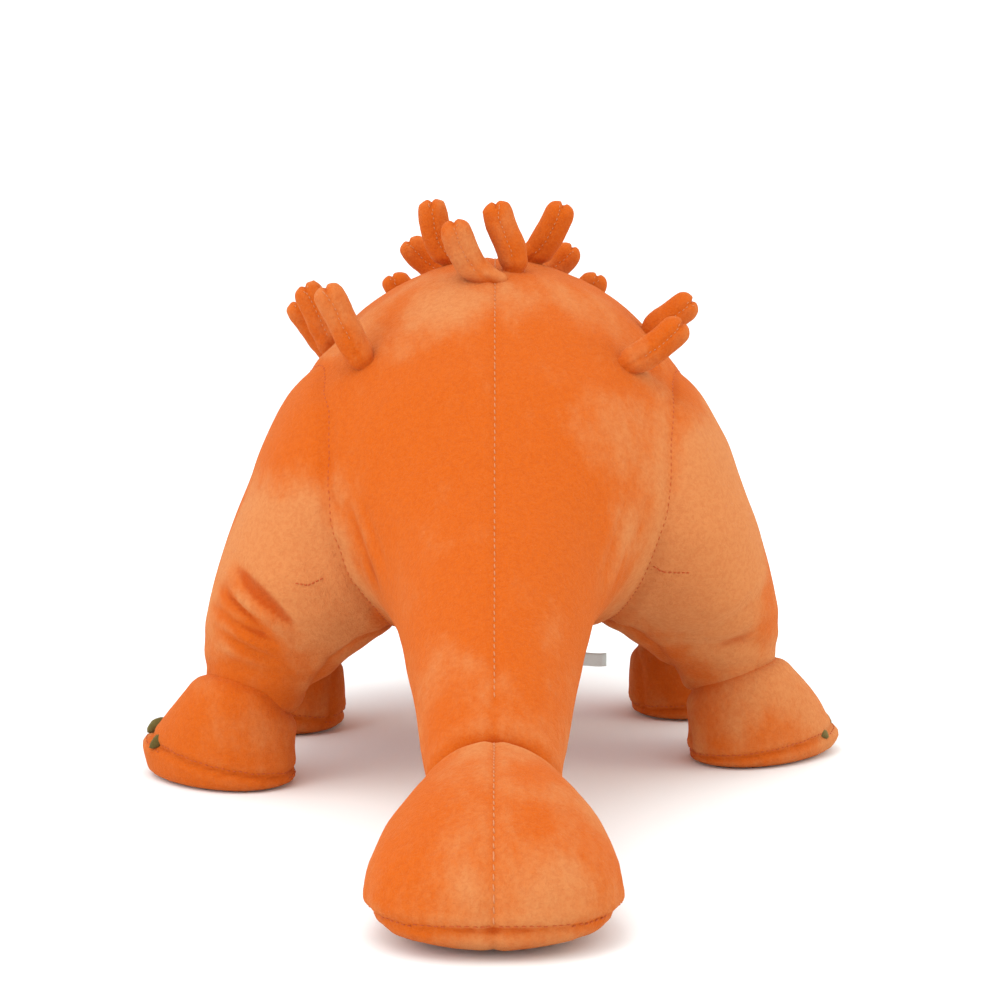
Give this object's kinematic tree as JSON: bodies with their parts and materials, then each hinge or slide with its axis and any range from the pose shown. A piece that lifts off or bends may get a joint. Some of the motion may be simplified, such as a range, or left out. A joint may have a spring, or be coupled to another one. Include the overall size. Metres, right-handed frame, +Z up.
{
  "type": "stuffed dinosaur",
  "caption": "Club-tailed dinosaur soft toy in orange short-pile plush with stuffed finger spikes, splayed feet and olive claws.",
  "frame": {"origin": "on the floor under the middle of the toy's width and length", "axes": "+Z up, head towards -Y, tail towards +Y, the toy's own left side towards +X"},
  "size_m": [0.36, 0.658, 0.2946],
  "materials": {
    "orange_plush": "short brushed pile, soft sheen",
    "polyester_filling": "loose white fibre",
    "claw_cloth": "short olive pile",
    "label_ribbon": "smooth woven ribbon",
    "eye_plastic": "polished dome",
    "washer_plastic": "moulded",
    "dark_thread": "embroidery thread"
  },
  "bodies": {
    "torso": {"back_panel_left": "orange_plush", "back_panel_right": "orange_plush", "belly_panel": "orange_plush", "torso_stuffing": "polyester_filling", "care_label": "label_ribbon"},
    "tail_root": {"tail_root_panels": "orange_plush", "tail_root_stuffing": "polyester_filling"},
    "tail_tip": {"tail_tip_panels": "orange_plush", "tail_tip_stuffing": "polyester_filling"},
    "tail_club": {"club_panel_left": "orange_plush", "club_panel_right": "orange_plush", "club_base": "orange_plush", "club_stuffing": "polyester_filling"},
    "neck": {"neck_sleeve": "orange_plush", "neck_stuffing": "polyester_filling"},
    "head": {"head_crown": "orange_plush", "head_chin": "orange_plush", "head_stuffing": "polyester_filling", "eyes": "eye_plastic", "eye_washers": "washer_plastic", "face_stitching": "dark_thread", "cheek_horns": "orange_plush"},
    "rear_left_leg": {"rear_left_outer_panel": "orange_plush", "rear_left_inner_panel": "orange_plush", "rear_left_foot_upper": "orange_plush", "rear_left_sole": "orange_plush", "rear_left_claws": "claw_cloth", "rear_left_stuffing": "polyester_filling"},
    "rear_right_leg": {"rear_right_outer_panel": "orange_plush", "rear_right_inner_panel": "orange_plush", "rear_right_foot_upper": "orange_plush", "rear_right_sole": "orange_plush", "rear_right_claws": "claw_cloth", "rear_right_stuffing": "polyester_filling"},
    "front_left_leg": {"front_left_outer_panel": "orange_plush", "front_left_inner_panel": "orange_plush", "front_left_foot_upper": "orange_plush", "front_left_sole": "orange_plush", "front_left_claws": "claw_cloth", "front_left_stuffing": "polyester_filling"},
    "front_right_leg": {"front_right_outer_panel": "orange_plush", "front_right_inner_panel": "orange_plush", "front_right_foot_upper": "orange_plush", "front_right_sole": "orange_plush", "front_right_claws": "claw_cloth", "front_right_stuffing": "polyester_filling"},
    "back_spike_1_left_body": {"back_spike_1_left": "orange_plush"},
    "back_spike_1_right_body": {"back_spike_1_right": "orange_plush"},
    "back_spike_2_left_body": {"back_spike_2_left": "orange_plush"},
    "back_spike_2_right_body": {"back_spike_2_right": "orange_plush"},
    "back_spike_3_left_body": {"back_spike_3_left": "orange_plush"},
    "back_spike_3_right_body": {"back_spike_3_right": "orange_plush"},
    "back_spike_4_left_body": {"back_spike_4_left": "orange_plush"},
    "back_spike_4_right_body": {"back_spike_4_right": "orange_plush"},
    "side_spike_1_left_body": {"side_spike_1_left": "orange_plush"},
    "side_spike_1_right_body": {"side_spike_1_right": "orange_plush"},
    "side_spike_2_left_body": {"side_spike_2_left": "orange_plush"},
    "side_spike_2_right_body": {"side_spike_2_right": "orange_plush"},
    "side_spike_3_left_body": {"side_spike_3_left": "orange_plush"},
    "side_spike_3_right_body": {"side_spike_3_right": "orange_plush"}
  },
  "joints": [
    {"name": "neck_turn", "type": "hinge", "parent": "torso", "child": "neck", "pos_m": [0, -0.215, 0.126], "axis": [0, 0, 1], "range_deg": [-20, 20], "stiffness_Nm_per_rad": 2},
    {"name": "head_nod", "type": "hinge", "parent": "neck", "child": "head", "pos_m": [0, -0.243, 0.126], "axis": [1, 0, 0], "range_deg": [-12, 12], "stiffness_Nm_per_rad": 1.5},
    {"name": "tail_lift", "type": "hinge", "parent": "torso", "child": "tail_root", "pos_m": [0, 0.056, 0.128], "axis": [1, 0, 0], "range_deg": [-2, 18], "stiffness_Nm_per_rad": 5},
    {"name": "tail_swing", "type": "hinge", "parent": "tail_root", "child": "tail_tip", "pos_m": [0, 0.126, 0.084], "axis": [0, 0, 1], "range_deg": [-18, 18], "stiffness_Nm_per_rad": 1.5},
    {"name": "club_bend", "type": "hinge", "parent": "tail_tip", "child": "tail_club", "pos_m": [0, 0.211, 0.042], "axis": [1, 0, 0], "range_deg": [-3, 14], "stiffness_Nm_per_rad": 1.5},
    {"name": "rear_left_hip", "type": "hinge", "parent": "torso", "child": "rear_left_leg", "pos_m": [0.1, -0.027, 0.128], "axis": [1, 0, 0], "range_deg": [-10, 10], "stiffness_Nm_per_rad": 7},
    {"name": "rear_right_hip", "type": "hinge", "parent": "torso", "child": "rear_right_leg", "pos_m": [-0.1, -0.051, 0.128], "axis": [1, 0, 0], "range_deg": [-10, 10], "stiffness_Nm_per_rad": 7},
    {"name": "front_left_shoulder", "type": "hinge", "parent": "torso", "child": "front_left_leg", "pos_m": [0.1, -0.17, 0.098], "axis": [1, 0, 0], "range_deg": [-10, 10], "stiffness_Nm_per_rad": 7},
    {"name": "front_right_shoulder", "type": "hinge", "parent": "torso", "child": "front_right_leg", "pos_m": [-0.1, -0.186, 0.098], "axis": [1, 0, 0], "range_deg": [-10, 10], "stiffness_Nm_per_rad": 7},
    {"name": "back_spike_1_left_flex", "type": "hinge", "parent": "torso", "child": "back_spike_1_left_body", "pos_m": [0.0086, -0.034, 0.26217], "axis": [0, 1, 0], "range_deg": [-12, 12], "stiffness_Nm_per_rad": 0.02},
    {"name": "back_spike_1_right_flex", "type": "hinge", "parent": "torso", "child": "back_spike_1_right_body", "pos_m": [-0.0086, -0.046, 0.26601], "axis": [0, 1, 0], "range_deg": [-12, 12], "stiffness_Nm_per_rad": 0.02},
    {"name": "back_spike_2_left_flex", "type": "hinge", "parent": "torso", "child": "back_spike_2_left_body", "pos_m": [0.0086, -0.084, 0.26989], "axis": [0, 1, 0], "range_deg": [-12, 12], "stiffness_Nm_per_rad": 0.02},
    {"name": "back_spike_2_right_flex", "type": "hinge", "parent": "torso", "child": "back_spike_2_right_body", "pos_m": [-0.0086, -0.084, 0.26989], "axis": [0, 1, 0], "range_deg": [-12, 12], "stiffness_Nm_per_rad": 0.02},
    {"name": "back_spike_3_left_flex", "type": "hinge", "parent": "torso", "child": "back_spike_3_left_body", "pos_m": [0.0086, -0.129, 0.25898], "axis": [0, 1, 0], "range_deg": [-12, 12], "stiffness_Nm_per_rad": 0.02},
    {"name": "back_spike_3_right_flex", "type": "hinge", "parent": "torso", "child": "back_spike_3_right_body", "pos_m": [-0.0086, -0.129, 0.25898], "axis": [0, 1, 0], "range_deg": [-12, 12], "stiffness_Nm_per_rad": 0.02},
    {"name": "back_spike_4_left_flex", "type": "hinge", "parent": "torso", "child": "back_spike_4_left_body", "pos_m": [0.024, -0.163, 0.24027], "axis": [0, 1, 0], "range_deg": [-12, 12], "stiffness_Nm_per_rad": 0.02},
    {"name": "back_spike_4_right_flex", "type": "hinge", "parent": "torso", "child": "back_spike_4_right_body", "pos_m": [-0.024, -0.163, 0.24027], "axis": [0, 1, 0], "range_deg": [-12, 12], "stiffness_Nm_per_rad": 0.02},
    {"name": "side_spike_1_left_flex", "type": "hinge", "parent": "torso", "child": "side_spike_1_left_body", "pos_m": [0.0735, 0.002, 0.21989], "axis": [0, 1, 0], "range_deg": [-12, 12], "stiffness_Nm_per_rad": 0.02},
    {"name": "side_spike_1_right_flex", "type": "hinge", "parent": "torso", "child": "side_spike_1_right_body", "pos_m": [-0.0735, 0.002, 0.21989], "axis": [0, 1, 0], "range_deg": [-12, 12], "stiffness_Nm_per_rad": 0.02},
    {"name": "side_spike_2_left_flex", "type": "hinge", "parent": "torso", "child": "side_spike_2_left_body", "pos_m": [0.092, -0.059, 0.22715], "axis": [0, 1, 0], "range_deg": [-12, 12], "stiffness_Nm_per_rad": 0.02},
    {"name": "side_spike_2_right_flex", "type": "hinge", "parent": "torso", "child": "side_spike_2_right_body", "pos_m": [-0.08, -0.059, 0.23953], "axis": [0, 1, 0], "range_deg": [-12, 12], "stiffness_Nm_per_rad": 0.02},
    {"name": "side_spike_3_left_flex", "type": "hinge", "parent": "torso", "child": "side_spike_3_left_body", "pos_m": [0.088, -0.112, 0.22491], "axis": [0, 1, 0], "range_deg": [-12, 12], "stiffness_Nm_per_rad": 0.02},
    {"name": "side_spike_3_right_flex", "type": "hinge", "parent": "torso", "child": "side_spike_3_right_body", "pos_m": [-0.088, -0.112, 0.22491], "axis": [0, 1, 0], "range_deg": [-12, 12], "stiffness_Nm_per_rad": 0.02}
  ]
}
